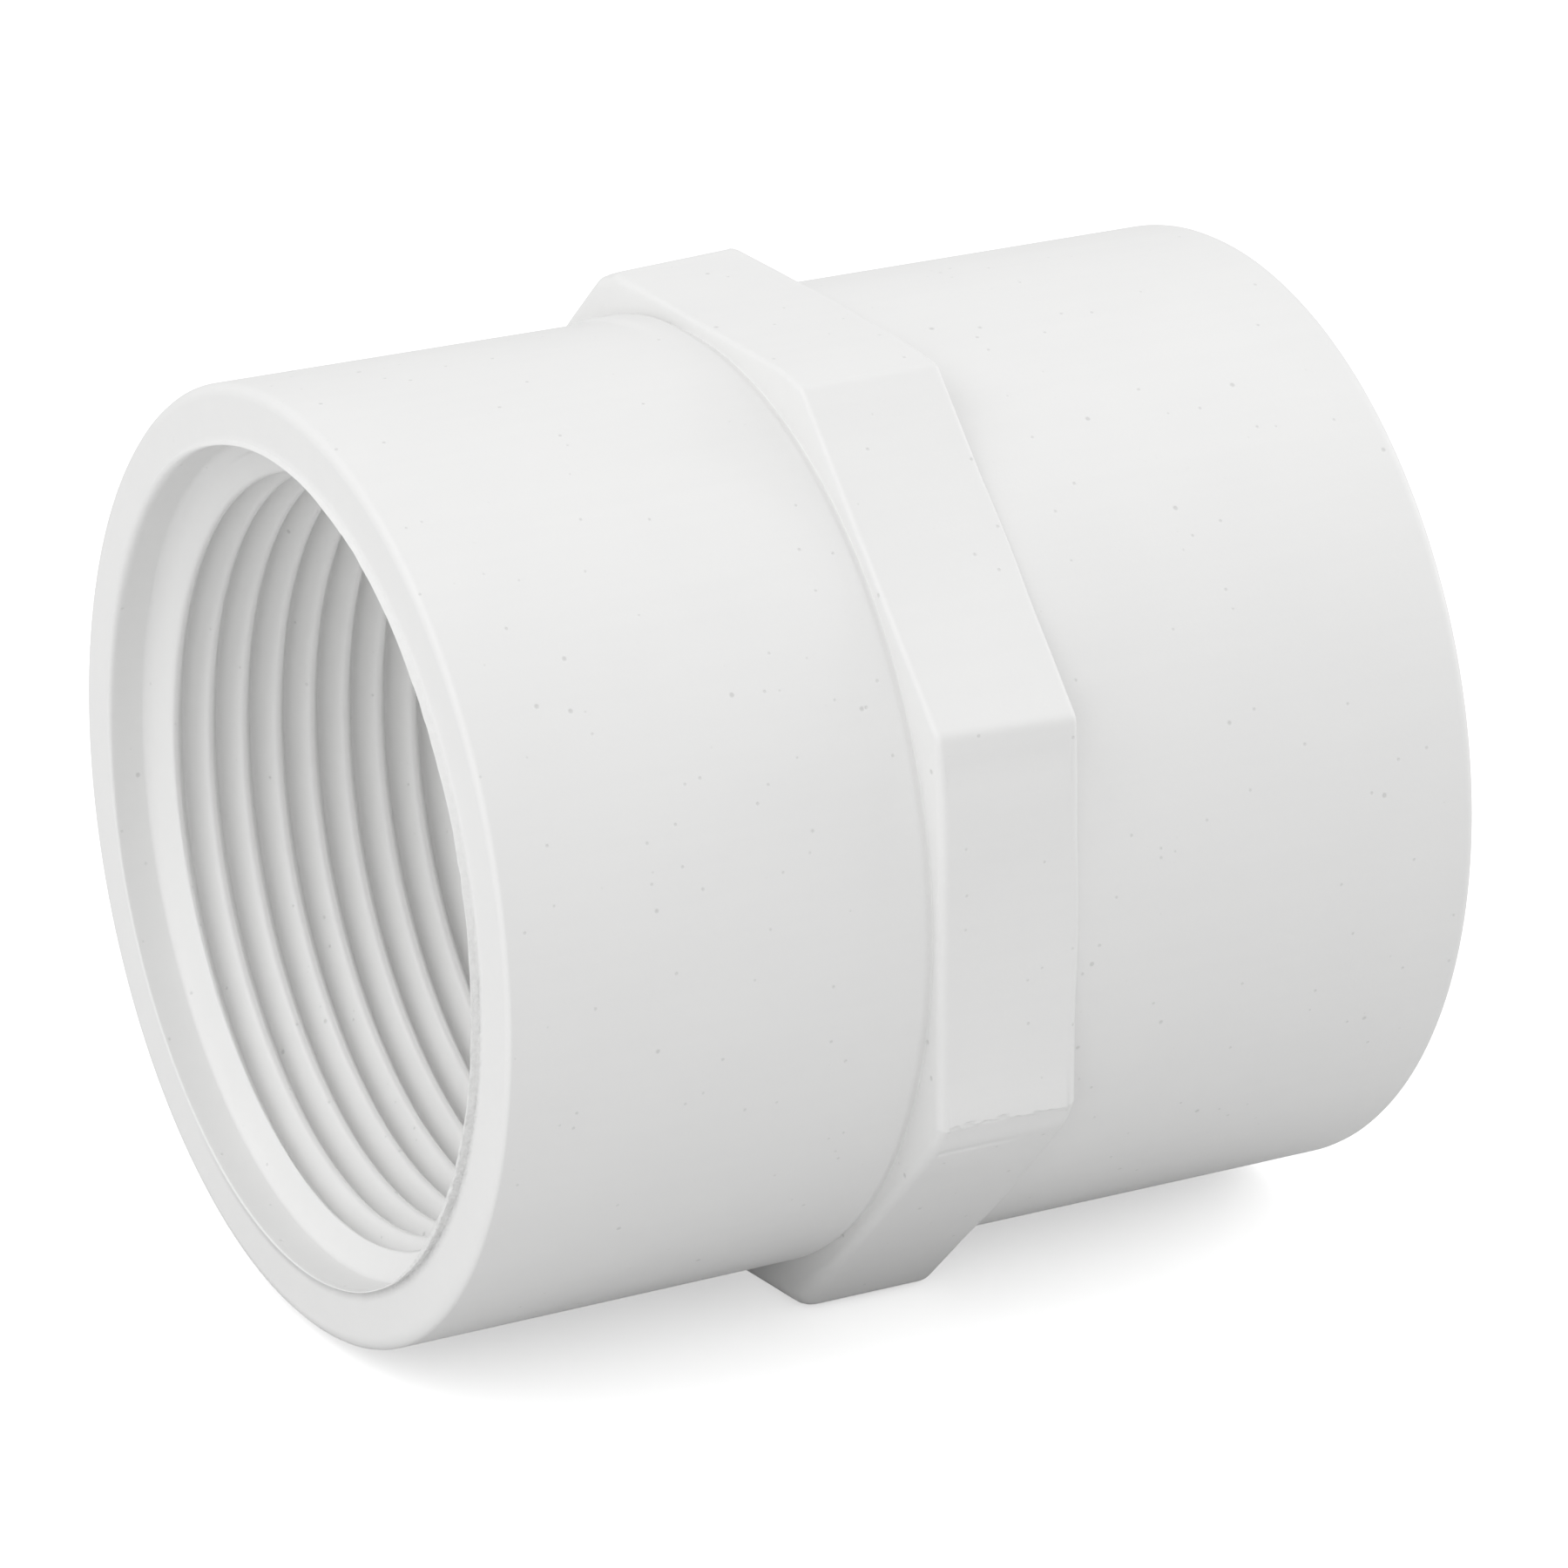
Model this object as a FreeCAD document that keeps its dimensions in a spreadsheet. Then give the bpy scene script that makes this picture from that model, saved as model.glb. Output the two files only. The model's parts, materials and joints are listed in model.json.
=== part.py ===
"""Moulded PVC pipe fitting: 1-1/2 inch female NPT thread at one end, plain pipe socket at the other.

One solid in one node. Millimetres, +Z up. The origin is on the fitting's axis, halfway along it.
The axis is X: the threaded mouth faces -X and the pipe socket's mouth faces +X.
Two flats of the octagonal wrench band face +Z and -Z.
"""
import FreeCAD, Part
import math
import os
import Sketcher

NODE = "fitting_body"

# Driving dimensions, in millimetres and degrees.
SIZES = {
    "total_length": 62.6,
    # Outside.
    "thread_hub_diameter": 56.3,
    "thread_hub_waist_diameter": 56.14,
    "socket_hub_diameter": 56.9,
    "band_across_flats": 57.6,
    "band_width": 9.0,
    "band_corner_radius": 1.5,
    "band_edge_radius": 0.25,
    "outer_rim_radius": 0.8,
    "mouth_edge_radius": 0.3,
    # Threaded end: a smooth recess, a steep lead-in cone, then the thread.
    "recess_diameter": 49.2,
    "recess_depth": 2.45,
    "lead_in_length": 0.75,
    # 1-1/2 - 11.5 NPT: 25.4 / 11.5 mm pitch, pitch diameter E1 at the start of the thread,
    # and a taper of 1 in 16 on diameter.
    "thread_pitch": 2.2087,
    "thread_pitch_diameter": 46.287,
    "thread_taper_angle": 1.7899,
    "thread_root_height": 0.80,
    "thread_crest_height": 0.64,
    "thread_end_depth": 24.4,
    # Waterway and pipe socket. The socket takes a 48.26 mm pipe.
    "waterway_diameter": 40.9,
    "socket_diameter": 48.336,
    "socket_depth": 28.2,
    "socket_lead_length": 0.9,
    "socket_lead_diameter": 49.3,
}

# Radius of the thread's pitch line, where `{depth}` is the distance in from the threaded mouth.
PITCH_LINE = "(sizes.thread_pitch_diameter / 2 - ({depth} - sizes.recess_depth) * tan(sizes.thread_taper_angle))"
# The groove's centre starts inside the smooth recess, so that the first turn runs in from clear air.
GROOVE_START = "(sizes.recess_depth - 0.83 * sizes.thread_pitch)"
GROOVE_LENGTH = "(sizes.thread_end_depth - 0.6 * sizes.thread_pitch - {start})".format(start=GROOVE_START)
# The groove's cutter reaches this far past the crests, so that it never ends on their surface.
CUTTER_OVERRUN = "0.08"


def make_sheet(doc):
    """The driving dimensions as a sheet of named cells."""
    sheet = doc.addObject("Spreadsheet::Sheet", "sizes")
    for row, (alias, value) in enumerate(SIZES.items(), start=1):
        sheet.set("A%d" % row, alias)
        sheet.set("B%d" % row, str(value))
        sheet.setAlias("B%d" % row, alias)
    return sheet


def new_sketch(body, name, role):
    """An empty sketch on one of the body's own origin planes."""
    plane = next(item for item in body.Origin.OriginFeatures if item.Role == role)
    sketch = body.newObject("Sketcher::SketchObject", name)
    sketch.AttachmentSupport = [(plane, "")]
    sketch.MapMode = "FlatFace"
    return sketch


def place_corner(sketch, line, corner):
    """Tie the start point of a line to the sheet: each coordinate is 0 or an expression."""
    along, out = corner
    for kind, axis, value in (("DistanceX", -2, along), ("DistanceY", -1, out)):
        if value == "0":
            sketch.addConstraint(Sketcher.Constraint("PointOnObject", line, 1, axis))
            continue
        size = float(sketch.evalExpression(value))
        index = sketch.addConstraint(Sketcher.Constraint(kind, -1, 1, line, 1, size))
        sketch.setExpression("Constraints[%d]" % index, value)


def closed_outline(sketch, corners):
    """A closed chain of lines through the corners, each a pair of 0 or expressions."""
    numbers = [[0.0 if value == "0" else float(sketch.evalExpression(value)) for value in corner]
               for corner in corners]
    points = [FreeCAD.Vector(along, out, 0) for along, out in numbers]
    lines = [sketch.addGeometry(Part.LineSegment(start, end))
             for start, end in zip(points, points[1:] + points[:1])]
    for line, following in zip(lines, lines[1:] + lines[:1]):
        sketch.addConstraint(Sketcher.Constraint("Coincident", line, 2, following, 1))
    for line, corner in zip(lines, corners):
        place_corner(sketch, line, corner)


def turn(body, kind, name, sketch):
    """Revolve a sketch about the fitting's axis."""
    feature = body.newObject("PartDesign::" + kind, name)
    feature.Profile = sketch
    feature.ReferenceAxis = (sketch, ["H_Axis"])
    feature.Angle = 360
    return feature


def outer_hubs(body):
    """The two hubs as one turned bar. The step between their diameters lies inside the band."""
    sketch = new_sketch(body, "hub_outline", "XZ_Plane")
    closed_outline(sketch, [
        ("0", "0"),
        ("0", "sizes.thread_hub_diameter / 2"),
        ("sizes.total_length / 2", "sizes.thread_hub_waist_diameter / 2"),
        ("sizes.total_length / 2", "sizes.socket_hub_diameter / 2"),
        ("sizes.total_length", "sizes.socket_hub_diameter / 2"),
        ("sizes.total_length", "0"),
    ])
    return turn(body, "Revolution", "hubs", sketch)


def wrench_band(body):
    """The octagonal band halfway along. Its corners lie on one construction circle."""
    sides = 8
    half_step = 180 / sides
    circle_size = "sizes.band_across_flats / 2 / cos(%s)" % half_step
    sketch = new_sketch(body, "band_outline", "YZ_Plane")
    reach = float(sketch.evalExpression(circle_size))
    corners = []
    for side in range(sides):
        angle = math.radians((2 * side + 1) * half_step)
        corners.append(FreeCAD.Vector(reach * math.cos(angle), reach * math.sin(angle), 0))
    lines = [sketch.addGeometry(Part.LineSegment(start, end))
             for start, end in zip(corners, corners[1:] + corners[:1])]
    circle = sketch.addGeometry(Part.Circle(FreeCAD.Vector(0, 0, 0), FreeCAD.Vector(0, 0, 1), reach), True)
    sketch.addConstraint(Sketcher.Constraint("Coincident", circle, 3, -1, 1))
    size = sketch.addConstraint(Sketcher.Constraint("Radius", circle, reach))
    sketch.setExpression("Constraints[%d]" % size, circle_size)
    for line, following in zip(lines, lines[1:] + lines[:1]):
        sketch.addConstraint(Sketcher.Constraint("Coincident", line, 2, following, 1))
        sketch.addConstraint(Sketcher.Constraint("PointOnObject", line, 1, circle))
    for line in lines[1:]:
        sketch.addConstraint(Sketcher.Constraint("Equal", lines[0], line))
    # The second side is the top flat, and it lies level.
    sketch.addConstraint(Sketcher.Constraint("Horizontal", lines[1]))
    sketch.setExpression("AttachmentOffset.Base.z", "sizes.total_length / 2")

    pad = body.newObject("PartDesign::Pad", "band")
    pad.Profile = sketch
    pad.setExpression("Length", "sizes.band_width")
    pad.Midplane = True
    return pad


def inner_bores(body):
    """Everything inside except the thread's groove, as one turned cut from mouth to mouth."""
    depth = "sizes.thread_end_depth"
    crest_start = PITCH_LINE.format(depth="(sizes.recess_depth + sizes.lead_in_length)")
    crest_end = PITCH_LINE.format(depth=depth)
    shoulder = "({0} - sizes.thread_crest_height - sizes.waterway_diameter / 2)".format(crest_end)
    socket_floor = "sizes.total_length - sizes.socket_depth"
    sketch = new_sketch(body, "bore_outline", "XZ_Plane")
    closed_outline(sketch, [
        ("0", "0"),
        ("0", "sizes.recess_diameter / 2"),
        ("sizes.recess_depth", "sizes.recess_diameter / 2"),
        ("sizes.recess_depth + sizes.lead_in_length", crest_start + " - sizes.thread_crest_height"),
        (depth, crest_end + " - sizes.thread_crest_height"),
        (depth + " + " + shoulder, "sizes.waterway_diameter / 2"),
        (socket_floor, "sizes.waterway_diameter / 2"),
        (socket_floor, "sizes.socket_diameter / 2"),
        ("sizes.total_length - sizes.socket_lead_length", "sizes.socket_diameter / 2"),
        ("sizes.total_length", "sizes.socket_lead_diameter / 2"),
        ("sizes.total_length", "0"),
    ])
    return turn(body, "Groove", "bores", sketch)


def pipe_thread(body):
    """The NPT thread: a 60 degree groove, half a pitch wide on the pitch line, cut along a tapered helix."""
    centre = PITCH_LINE.format(depth=GROOVE_START)
    inward = "(sizes.thread_crest_height + %s)" % CUTTER_OVERRUN
    root_half = "(sizes.thread_pitch / 4 - sizes.thread_root_height * tan(30))"
    mouth_half = "(sizes.thread_pitch / 4 + %s * tan(30))" % inward
    sketch = new_sketch(body, "groove_outline", "XZ_Plane")
    closed_outline(sketch, [
        (GROOVE_START + " - " + root_half, centre + " + sizes.thread_root_height"),
        (GROOVE_START + " + " + root_half, centre + " + sizes.thread_root_height"),
        (GROOVE_START + " + " + mouth_half, centre + " - " + inward),
        (GROOVE_START + " - " + mouth_half, centre + " - " + inward),
    ])
    helix = body.newObject("PartDesign::SubtractiveHelix", "thread")
    helix.Profile = sketch
    helix.ReferenceAxis = (sketch, ["H_Axis"])
    helix.Mode = "pitch-height-angle"
    helix.setExpression("Pitch", "sizes.thread_pitch")
    helix.setExpression("Height", GROOVE_LENGTH)
    helix.setExpression("Angle", "-sizes.thread_taper_angle")
    return helix


def circle_edges(shape, along, radius):
    """Names of the circular edges that stand at one place along the axis with one radius."""
    tolerance = 0.01
    found = []
    for number, edge in enumerate(shape.Edges, start=1):
        curve = edge.Curve
        if not isinstance(curve, Part.Circle):
            continue
        centre = curve.Center
        on_axis = math.hypot(centre.y, centre.z) < tolerance
        if on_axis and abs(centre.x - along) < tolerance and abs(curve.Radius - radius) < tolerance:
            found.append("Edge%d" % number)
    return found


def round_edges(body, name, edges, radius_alias):
    """A fillet on the named edges of the body's last feature."""
    if not edges:
        raise RuntimeError("no edges to round for " + name)
    base = body.Tip
    fillet = body.newObject("PartDesign::Fillet", name)
    fillet.Base = (base, edges)
    fillet.setExpression("Radius", "sizes." + radius_alias)
    return fillet


def corner_edges(shape, across_corners):
    """Names of the band's eight corner edges, which run along the axis."""
    tolerance = 0.01
    found = []
    for number, edge in enumerate(shape.Edges, start=1):
        middle = edge.CenterOfMass
        straight = isinstance(edge.Curve, Part.Line)
        if straight and abs(math.hypot(middle.y, middle.z) - across_corners / 2) < tolerance:
            found.append("Edge%d" % number)
    return found


def band_rim_edges(shape, first, last, least_distance):
    """Names of the edges around the band's two side faces, outside the hubs."""
    tolerance = 0.01
    found = []
    for number, edge in enumerate(shape.Edges, start=1):
        box = edge.BoundBox
        on_side = any(abs(box.XMin - side) < tolerance and abs(box.XMax - side) < tolerance
                      for side in (first, last))
        middle = edge.valueAt((edge.FirstParameter + edge.LastParameter) / 2)
        if on_side and math.hypot(middle.y, middle.z) > least_distance:
            found.append("Edge%d" % number)
    return found


def make_fitting(doc):
    """The whole fitting as one PartDesign body."""
    body = doc.addObject("PartDesign::Body", NODE)
    body.Label = NODE
    outer_hubs(body)
    doc.recompute()

    wrench_band(body)
    doc.recompute()

    across_corners = SIZES["band_across_flats"] / math.cos(math.pi / 8)
    round_edges(body, "band_corners", corner_edges(body.Shape, across_corners), "band_corner_radius")
    doc.recompute()

    first = (SIZES["total_length"] - SIZES["band_width"]) / 2
    last = first + SIZES["band_width"]
    beyond_hubs = SIZES["socket_hub_diameter"] / 2 + 0.1
    rim = band_rim_edges(body.Shape, first, last, beyond_hubs)
    round_edges(body, "band_rims", rim, "band_edge_radius")
    doc.recompute()

    rims = circle_edges(body.Shape, 0, SIZES["thread_hub_diameter"] / 2)
    rims += circle_edges(body.Shape, SIZES["total_length"], SIZES["socket_hub_diameter"] / 2)
    round_edges(body, "outer_rims", rims, "outer_rim_radius")
    doc.recompute()

    before = body.Shape.Volume
    inner_bores(body)
    doc.recompute()
    check_cut("bores", before, body.Shape.Volume)

    mouth = circle_edges(body.Shape, 0, SIZES["recess_diameter"] / 2)
    round_edges(body, "mouth_edge", mouth, "mouth_edge_radius")
    doc.recompute()

    before = body.Shape.Volume
    pipe_thread(body)
    doc.recompute()
    check_cut("thread", before, body.Shape.Volume)

    body.setExpression("Placement.Base.x", "-sizes.total_length / 2")
    doc.recompute()
    return body


def check_cut(name, before, after):
    """A cut that points the wrong way removes nothing and shows no error."""
    if after >= before - 1.0:
        raise RuntimeError("%s removed nothing" % name)


def check_document(doc):
    """Stop if any object failed to compute."""
    for item in doc.Objects:
        if "Invalid" in item.State or "Error" in item.State:
            raise RuntimeError("%s failed: %s" % (item.Name, item.State))


def main():
    doc = FreeCAD.newDocument("pipe_fitting")
    make_sheet(doc)
    doc.recompute()
    body = make_fitting(doc)
    check_document(doc)
    if body.Shape.isNull() or not body.Shape.isValid() or len(body.Shape.Solids) != 1:
        raise RuntimeError("the fitting is not one valid solid")
    os.makedirs("parts", exist_ok=True)
    body.Shape.exportStep("parts/%s.step" % body.Label)
    box = body.Shape.optimalBoundingBox(False)
    print("%s: volume %.1f mm3, box %.2f x %.2f x %.2f mm, %d faces" % (
        body.Label, body.Shape.Volume, box.XLength, box.YLength, box.ZLength, len(body.Shape.Faces)))


main()
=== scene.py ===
"""The moulded PVC fitting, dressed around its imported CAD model.

Metres, +Z up, the fitting's axis along X, with the threaded mouth facing -X. One dense, smooth mesh with
the mould's marks replaces the CAD solid. Around it are a plain pale floor, soft studio light and the
camera.
"""

import json
import math

import bmesh
import bpy
import numpy as np
from mathutils import Matrix, Vector


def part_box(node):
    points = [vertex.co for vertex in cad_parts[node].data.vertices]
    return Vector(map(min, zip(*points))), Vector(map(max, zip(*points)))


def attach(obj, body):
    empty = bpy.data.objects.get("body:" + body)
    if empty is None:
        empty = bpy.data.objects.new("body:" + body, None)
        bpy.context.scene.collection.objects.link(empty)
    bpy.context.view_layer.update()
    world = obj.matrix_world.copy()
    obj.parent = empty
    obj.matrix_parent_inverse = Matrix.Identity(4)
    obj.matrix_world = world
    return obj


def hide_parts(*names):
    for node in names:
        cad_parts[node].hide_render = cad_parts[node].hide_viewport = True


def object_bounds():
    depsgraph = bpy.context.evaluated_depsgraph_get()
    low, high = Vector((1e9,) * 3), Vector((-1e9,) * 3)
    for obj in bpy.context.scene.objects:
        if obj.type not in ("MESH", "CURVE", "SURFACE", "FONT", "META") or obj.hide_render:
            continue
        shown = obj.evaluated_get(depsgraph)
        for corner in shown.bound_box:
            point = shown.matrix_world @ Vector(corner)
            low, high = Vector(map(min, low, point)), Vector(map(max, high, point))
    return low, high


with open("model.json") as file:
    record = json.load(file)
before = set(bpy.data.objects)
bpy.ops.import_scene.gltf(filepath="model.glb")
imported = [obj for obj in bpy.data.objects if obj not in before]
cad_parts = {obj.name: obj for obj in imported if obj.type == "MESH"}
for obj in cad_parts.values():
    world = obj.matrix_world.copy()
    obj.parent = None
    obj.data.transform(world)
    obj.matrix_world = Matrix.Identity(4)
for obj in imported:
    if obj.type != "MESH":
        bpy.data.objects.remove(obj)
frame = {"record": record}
cad_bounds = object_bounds()

MM = 0.001
NODE = "fitting_body"
SEED = 11
PVC_LIGHT = (0.869, 0.869, 0.863, 1.0)
PVC_DARK = (0.856, 0.856, 0.851, 1.0)
# The grey of the specks and scuffs, also used for painted shade on the torn flash.
PVC_SPECK_AND_SHADE_GREY = (0.33, 0.33, 0.32, 1.0)
MOUNTS = {mount["name"]: mount for mount in frame["record"]["mounts"]}

# ---- Sizes, in millimetres and degrees. The box and the bores come from the frame. ----
high_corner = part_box(NODE)[1]
HALF_LENGTH = high_corner.x / MM
BAND_APOTHEM = high_corner.z / MM
SOCKET_RADIUS = MOUNTS["pipe_socket"]["dims"]["r_mm"]
SOCKET_LENGTH = MOUNTS["pipe_socket"]["dims"]["length_mm"]
RECESS_RADIUS = MOUNTS["thread_recess"]["dims"]["r_mm"]
THREAD_START = MOUNTS["npt_thread"]["pos_m"][0] / MM

BAND_HALF_WIDTH = 4.5
HUB_RADIUS_THREAD = 28.15
HUB_RADIUS_WAIST = 28.07
HUB_RADIUS_SOCKET = 28.45
OUTER_RIM_RADIUS = 0.8
NEAR_FILLET = 0.06
FAR_FILLET = 0.2
# What varies round the fitting, as pairs of an angle and a size. The angle runs from +Z towards -Y.
# Rounding of the threaded end's outer rim, across the end face and along the hub.
RIM_ACROSS = ((-50, 0.8), (-25, 0.7), (0, 0.7), (35, 0.6), (75, 0.4), (105, 0.6), (125, 0.75),
              (180, 0.8))
RIM_ALONG = ((-50, 0.8), (-25, 0.6), (0, 0.55), (35, 0.45), (75, 0.27), (120, 0.24), (145, 0.35),
             (180, 0.8))
# Rounding of the wrench band's two edges.
NEAR_EDGE = ((-34, 0.3), (-22.5, 0.7), (-11, 0.3), (60, 0.34), (75, 0.55), (146, 0.55), (157.5, 1.3),
             (170, 0.3))
FAR_EDGE = ((-33, 0.4), (-22.5, 0.6), (-12, 0.4), (60, 0.4), (75, 0.6), (147, 0.6), (157.5, 0.8),
            (168, 0.4))
# A shallow crease runs along the band on the threaded side, with a low collar beyond it in one place.
CREASE_DEPTH = 0.18
CREASE_WIDTH = 0.55
CREASE_REACH = 2.9
CREASE_ROWS = np.array([0.08, 0.17, 0.26, 0.36, 0.48, 0.62, 0.9, 1.4, 1.85, 2.05, 2.25, 2.45, 2.7])
COLLAR = ((-32, 0.0), (-24, 0.2), (-9, 0.2), (0, 0.0))
# Rounding of the threaded mouth's inner edge.
MOUTH_EDGE = ((-150, 0.12), (-110, 0.14), (-85, 0.3), (-60, 0.5), (-25, 0.45), (0, 0.32), (50, 0.24),
              (90, 0.14), (180, 0.12))
# The flash on that edge: how far it stands out from the end face, and leans inward.
FLASH_HEIGHT = ((-45, 0.0), (-15, 0.17), (0, 0.22), (15, 0.26), (30, 0.31), (50, 0.4), (90, 0.5),
                (110, 0.48), (124, 0.42), (140, 0.36), (155, 0.28), (170, 0.13), (190, 0.05), (215, 0.0))
FLASH_LEAN = ((80, 0.0), (105, 0.12), (120, 0.27), (132, 0.28), (142, 0.08), (150, 0.0))
# How wide its top is, where it was torn rather than cut.
FLASH_TOP = ((60, 0.0), (100, 0.06), (116, 0.22), (134, 0.3), (144, 0.12), (152, 0.0))
# How rough the flash is, from 0 to 1.
FLASH_ROUGH = ((-45, 0.0), (0, 0.15), (60, 0.3), (92, 0.7), (110, 1.0), (140, 0.9), (155, 0.4), (175, 0.1),
               (215, 0.0))
# The flash is there in full above the second of these heights, and fades out down to the first.
FLASH_FADE = (0.02, 0.16)
FLASH_DEPTH = 0.6
FLASH_EDGE = 0.05
FLASH_TOP_LEAST = 0.02
# Its unevenness, in millimetres, as waves that many times round the mouth.
SWELL = {"seed": 3, "height": 0.012, "counts": (9, 30)}
RIPPLE = {"seed": 4, "height": 0.03, "counts": (40, 130)}
SIDE_SCAR = {"seed": 5, "height": 0.02, "counts": (60, 190)}
TOP_SCAR = {"seed": 6, "height": 0.02, "counts": (60, 190)}
WAVES = 24
FACE_INNER_RADIUS = RECESS_RADIUS + 0.62
# The mesh attribute that says how torn the surface is, and how far out from the recess it reaches. The
# material also paints shade on the flash by it.
TORN = "torn"
TORN_REACH = 0.25

THREAD_PITCH = 2.2087
THREAD_PITCH_RADIUS = 46.287 / 2
THREAD_TAPER = math.tan(math.radians(1.7899))
THREAD_FLANK = math.tan(math.radians(30.0))
THREAD_ROOT = 0.80
THREAD_CREST = 0.64
THREAD_LENGTH = 21.95
GROOVE_PHASE = THREAD_START - 0.83 * THREAD_PITCH
LEAD_IN_LENGTH = 0.75
WATERWAY_RADIUS = 20.45
WATERWAY_ROUND = 0.25
SOCKET_LEAD_LENGTH = 0.9
SOCKET_LEAD_RADIUS = 24.65
SOCKET_FLOOR_ROUND = 0.3
# How soft the bore's bends are: from recess to cone, at the thread's crests and roots, from cone to crest,
# and from there into the groove.
RECESS_BLEND = 0.9
CREST_BLEND = 0.24
ROOT_BLEND = 0.06
CONE_BLEND = 0.12
GROOVE_BLEND = 0.02
# How far the soft bend reaches into the recess, and in how many turns the thread fades out.
RECESS_BEND_REACH = 0.34
THREAD_FADE_TURNS = 1.1

# The octagon's corners, by their angle from +Y towards +Z. Some are rounded, by this radius.
CORNER_STEP = 45.0
FIRST_CORNER = 22.5
CORNER_ROUND = {22.5: 1.5, 247.5: 2.2, 292.5: 1.6, 337.5: 1.5}
# The others are cut by strips. A strip's legs are how far it reaches onto the flat before the corner and
# the flat after it, each at the threaded side and at the socket side. The last number is how soft its
# edges are.
CORNER_STRIPS = {
    67.5: [((1.25, 0.25), (1.25, 0.25), 0.14)],
    112.5: [((2.0, 3.5), (0.55, 0.45), 0.10)],
    157.5: [((0.85, 0.5), (5.0, 4.4), 0.2)],
    202.5: [((0.8, 0.9), (1.45, 1.5), 0.03), ((0.3, 0.3), (2.8, 4.4), 0.1)],
}
FLASH_CORNER = 202.5
# Where the film of flash ends on the flat above that corner: along the axis, and down from the flat's
# middle. The end is ragged by this much, between this many knots, and the film thins out up the flat.
FILM_LINE = ((-4.8, 11.25), (-2.1, 10.85), (0.0, 10.9), (1.5, 10.95), (4.8, 11.3))
FILM_HEIGHT = 0.12
FILM_RAGGED = 0.3
FILM_KNOTS = 31
FILM_FADE = (8.2, 10.6)
# The fine crease just past the corner, by its distance from it.
FINE_CREASE_PLACE = 1.5
FINE_CREASE_WIDTH = 0.22
FINE_CREASE_DEPTH = 0.08
# The hollow and the step at the top of the same flat, by their distance down from its middle.
HOLLOW_PLACE = -10.3
HOLLOW_WIDTH = 0.9
HOLLOW_DEPTH = 0.05
STEP_RISE = (-9.4, -7.9)
STEP_FALL = (-7.45, -7.6)
STEP_HEIGHT = 0.06

# How finely the mesh is divided: degrees between stations, and rows along the hubs and the band.
CORNER_REACH = 2.4
CORNER_SPACING = 0.4
BETWEEN_SPACING = 1.85
STRIP_SPACING = ((-2.6, -0.6, 0.1), (-0.5, 1.6, 0.2), (1.7, 2.9, 0.3), (2.9, 4.1, 0.12), (4.2, 8.5, 0.4))
HUB_ROWS = 11
BAND_ROWS = 34
CONE_ROWS = 16
# A ring this close beside a rounded rim keeps the flat face next to it flat.
RIM_RING = 0.05
FACE_RING = 0.2


def smooth_max(a, b, blend):
    """The larger of two surfaces, with a soft crease `blend` wide."""
    mix = np.maximum(blend - np.abs(a - b), 0.0) / blend
    return np.maximum(a, b) + mix * mix * blend * 0.25


def smooth_min(a, b, blend):
    return -smooth_max(-a, -b, blend)


def smooth_step(low, high, value):
    t = np.clip((value - low) / (high - low), 0.0, 1.0)
    return t * t * (3.0 - 2.0 * t)


# ---- Stations round the axis ----
def station_angles():
    """Degrees round the axis: close together at the octagon's corners, closest beside the strip."""
    near = np.arange(-CORNER_REACH, CORNER_REACH + 0.01, CORNER_SPACING)
    strip = np.concatenate([np.arange(*spacing) for spacing in STRIP_SPACING])
    angles = []
    for number in range(8):
        corner = FIRST_CORNER + number * CORNER_STEP
        local = strip if corner == FLASH_CORNER else near
        angles.append(corner + local)
        following = FIRST_CORNER + CORNER_STEP * (number + 1)
        start = corner + local[-1]
        end = following + (strip[0] if following == FLASH_CORNER else near[0])
        count = int(round((end - start) / BETWEEN_SPACING))
        angles.append(np.linspace(start, end, count + 1)[1:-1])
    return np.concatenate(angles)


ANGLES = station_angles()
THETA = np.radians(ANGLES)
# The same stations by their angle from +Z towards -Y, the side that the camera sees.
VIEWER_ANGLES = (ANGLES - 90.0 + 180.0) % 360.0 - 180.0
STATIONS = len(THETA)


def round_table(table):
    """One of the tables above, read at every station."""
    angles, values = zip(*table)
    return np.interp(VIEWER_ANGLES, angles, values, period=360)[None, :]


def from_corner(corner):
    """Each station's angle from one corner, in radians, from -pi to pi."""
    return (np.radians(ANGLES - corner) + math.pi) % (2 * math.pi) - math.pi


def band_radius(x):
    """Distance from the axis to the octagon, for x in rows and stations."""
    half = math.radians(CORNER_STEP / 2)
    radius = np.zeros((len(x), STATIONS))
    for number in range(8):
        corner = FIRST_CORNER + number * CORNER_STEP
        away = from_corner(corner)
        mine = np.abs(away) <= half + 1e-9
        phi = np.abs(away[mine])
        flat = BAND_APOTHEM / np.cos(half - phi)
        if corner in CORNER_STRIPS:
            radius[:, mine] = flat[None, :]
            for before, after, soft in CORNER_STRIPS[corner]:
                cut = strip_cut(x[:, mine], away[mine], before, after)
                radius[:, mine] = smooth_min(radius[:, mine], cut, soft)
            continue
        rounding = CORNER_ROUND[corner]
        centre = (BAND_APOTHEM - rounding) / math.cos(half)
        arc = centre * np.cos(phi) + np.sqrt(np.maximum(rounding ** 2 - (centre * np.sin(phi)) ** 2, 0))
        tangent = math.atan((BAND_APOTHEM - rounding) * math.tan(half) / BAND_APOTHEM)
        radius[:, mine] = np.where(half - phi > tangent, arc, flat)[None, :]
    return radius


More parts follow.
